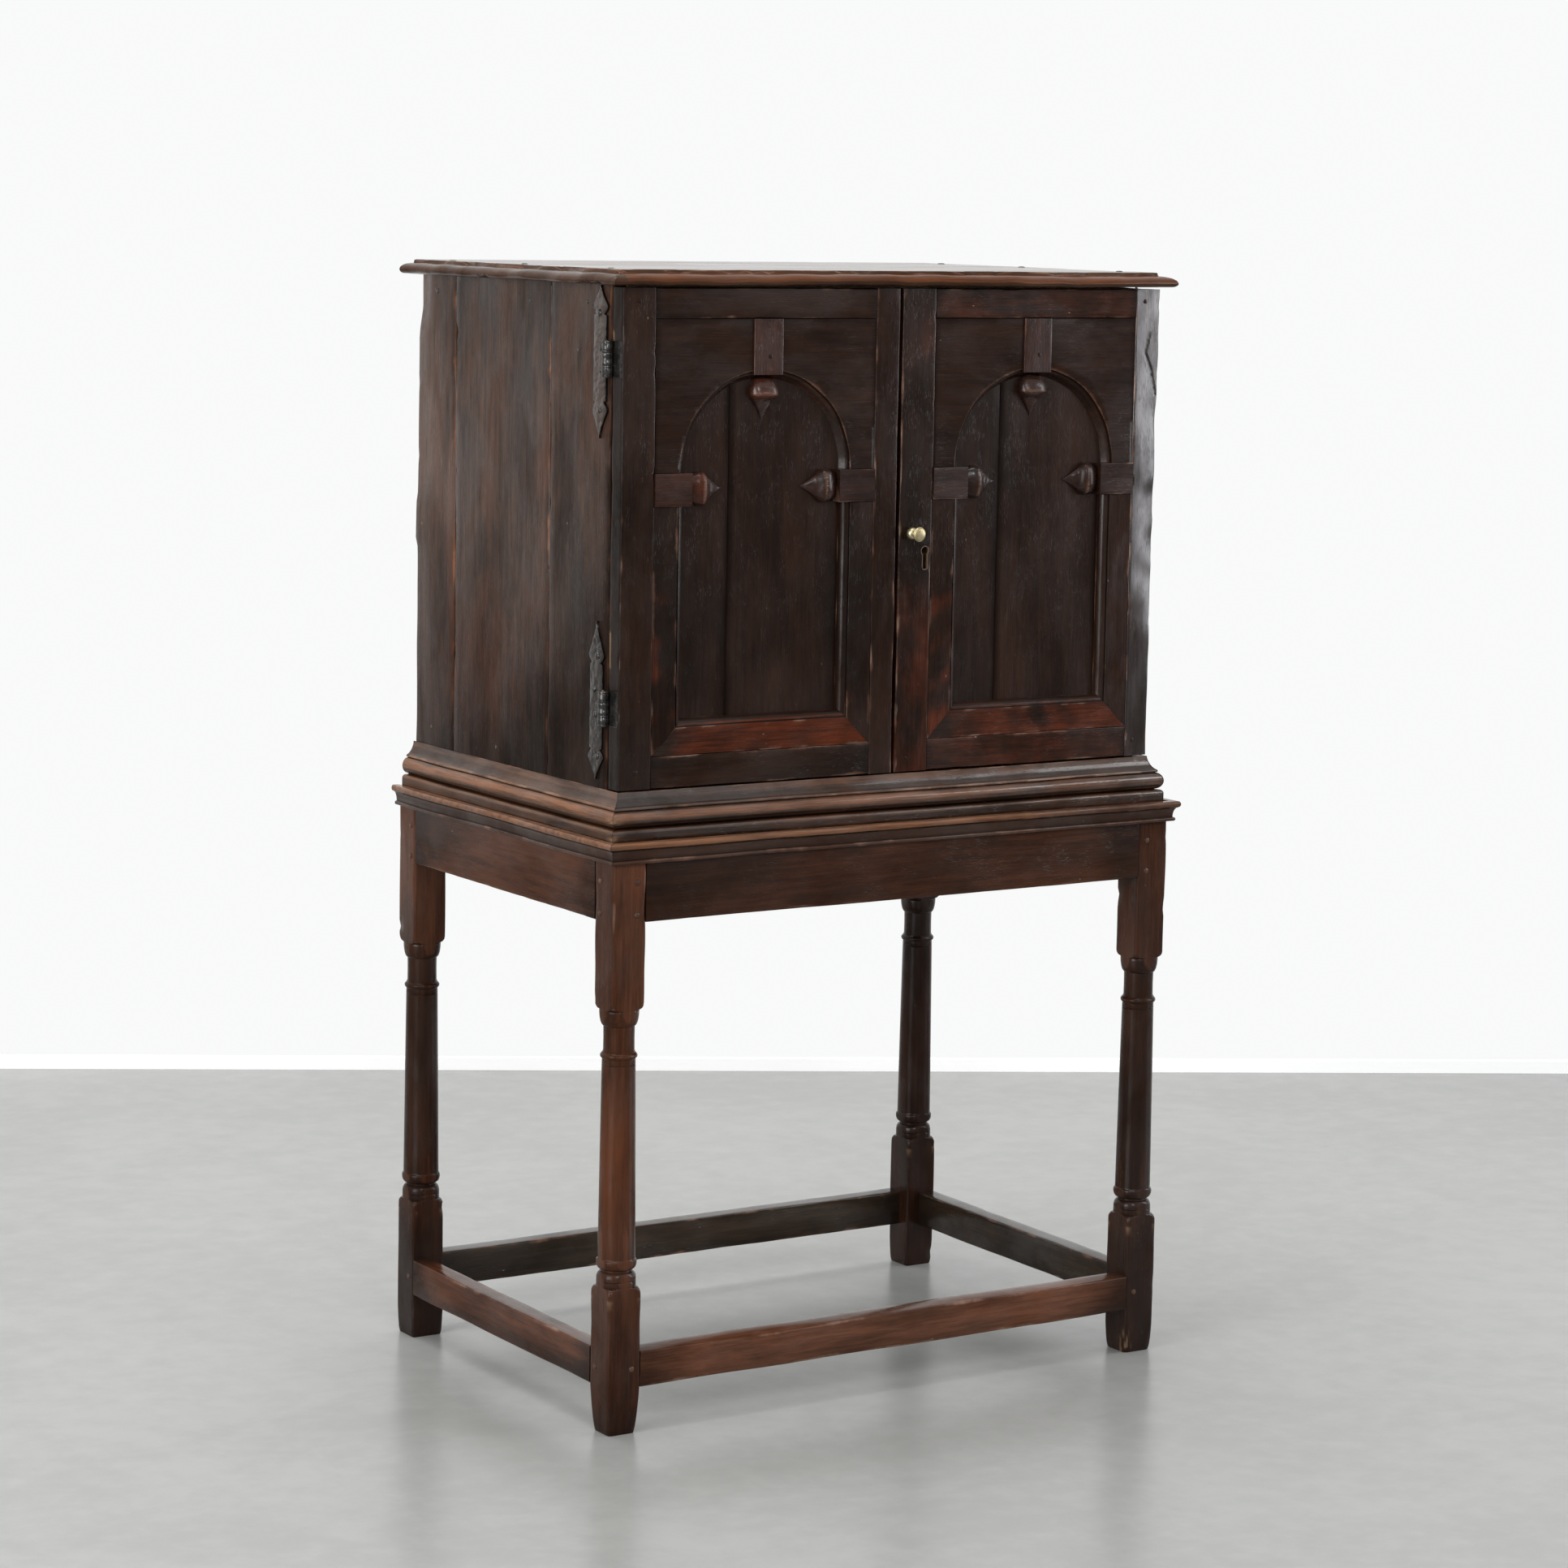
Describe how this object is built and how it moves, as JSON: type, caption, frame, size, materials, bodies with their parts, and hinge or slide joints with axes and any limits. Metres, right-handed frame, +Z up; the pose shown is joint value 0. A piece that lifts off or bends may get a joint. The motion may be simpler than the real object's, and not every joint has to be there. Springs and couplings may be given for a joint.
{
  "type": "cabinet on stand",
  "caption": "Oak cabinet on a turned stand: panelled doors with arched openings and carved key and impost blocks, iron hinges, a keyhole and a small knob, over legs with low stretchers.",
  "frame": {"origin": "on the floor, in the middle of the whole outline seen from above", "axes": "+X to the right along the front as a viewer faces the doors, +Y to the back, +Z up; the doors face -Y"},
  "size_m": [0.876, 0.5876, 1.45],
  "materials": {
    "stand_oak": "waxed reddish brown oak, turned and planed by hand",
    "case_oak": "waxed oak gone nearly black, worn red brown at the edges",
    "panel_oak": "waxed oak, near black with a satin sheen",
    "red_oak": "waxed oak, worn to a deep red brown",
    "top_oak": "oak faded to orange brown, edge worn and dented",
    "plain_oak": "dry unfinished oak inside and at the back",
    "iron": "hand forged iron, blackened",
    "brass": "dull yellow brass"
  },
  "bodies": {
    "root": {"leg_front_left": "stand_oak", "leg_front_right": "stand_oak", "leg_back_left": "stand_oak", "leg_back_right": "stand_oak", "rail_front": "stand_oak", "rail_back": "stand_oak", "rail_left": "stand_oak", "rail_right": "stand_oak", "stretcher_front": "stand_oak", "stretcher_back": "stand_oak", "stretcher_left": "stand_oak", "stretcher_right": "stand_oak", "stand_pegs": "red_oak", "stand_moulding": "stand_oak", "base_moulding_front": "case_oak", "base_moulding_left": "case_oak", "base_moulding_right": "case_oak", "plinth_rail": "case_oak", "left_side_front_board": "case_oak", "left_side_middle_board": "case_oak", "left_side_rear_board": "case_oak", "right_side_front_board": "case_oak", "right_side_middle_board": "case_oak", "right_side_rear_board": "case_oak", "back_boards": "plain_oak", "bottom_board": "plain_oak", "head_rail": "plain_oak", "case_battens": "plain_oak", "shelf": "plain_oak", "top_front_board": "top_oak", "top_rear_board": "top_oak", "left_hinge_plates": "iron", "right_hinge_plates": "iron", "hinge_pins": "iron"},
    "left_door": {"left_door_hinge_stile": "case_oak", "left_door_meeting_stile": "case_oak", "left_door_top_rail": "case_oak", "left_door_bottom_rail": "case_oak", "left_door_panel": "panel_oak", "left_door_arch_board": "panel_oak", "left_door_mouldings": "red_oak", "left_door_carved_blocks": "red_oak", "left_door_hinge_leaves": "iron", "bolt_keep": "iron", "door_bolt_plate": "iron"},
    "right_door": {"right_door_hinge_stile": "case_oak", "right_door_meeting_stile": "red_oak", "right_door_top_rail": "case_oak", "right_door_bottom_rail": "red_oak", "right_door_panel": "panel_oak", "right_door_arch_board": "panel_oak", "right_door_mouldings": "red_oak", "right_door_carved_blocks": "red_oak", "right_door_hinge_leaves": "iron", "knob": "brass", "keyhole_liner": "brass", "lock_case": "iron"},
    "lock_bolt": {"lock_bolt": "iron"},
    "door_bolt": {"door_bolt": "iron"}
  },
  "joints": [
    {"name": "left_door_swing", "type": "hinge", "parent": "root", "child": "left_door", "pos_m": [-0.4135, -0.2285, 1.1265], "axis": [0, 0, -1], "range_deg": [0, 180]},
    {"name": "right_door_swing", "type": "hinge", "parent": "root", "child": "right_door", "pos_m": [0.4135, -0.2285, 1.1265], "axis": [0, 0, 1], "range_deg": [0, 180]},
    {"name": "lock_bolt_throw", "type": "slide", "parent": "right_door", "child": "lock_bolt", "axis": [-1, 0, 0], "range_m": [0, 0.016]},
    {"name": "door_bolt_rise", "type": "slide", "parent": "left_door", "child": "door_bolt", "axis": [0, 0, 1], "range_m": [0, 0.012]}
  ]
}
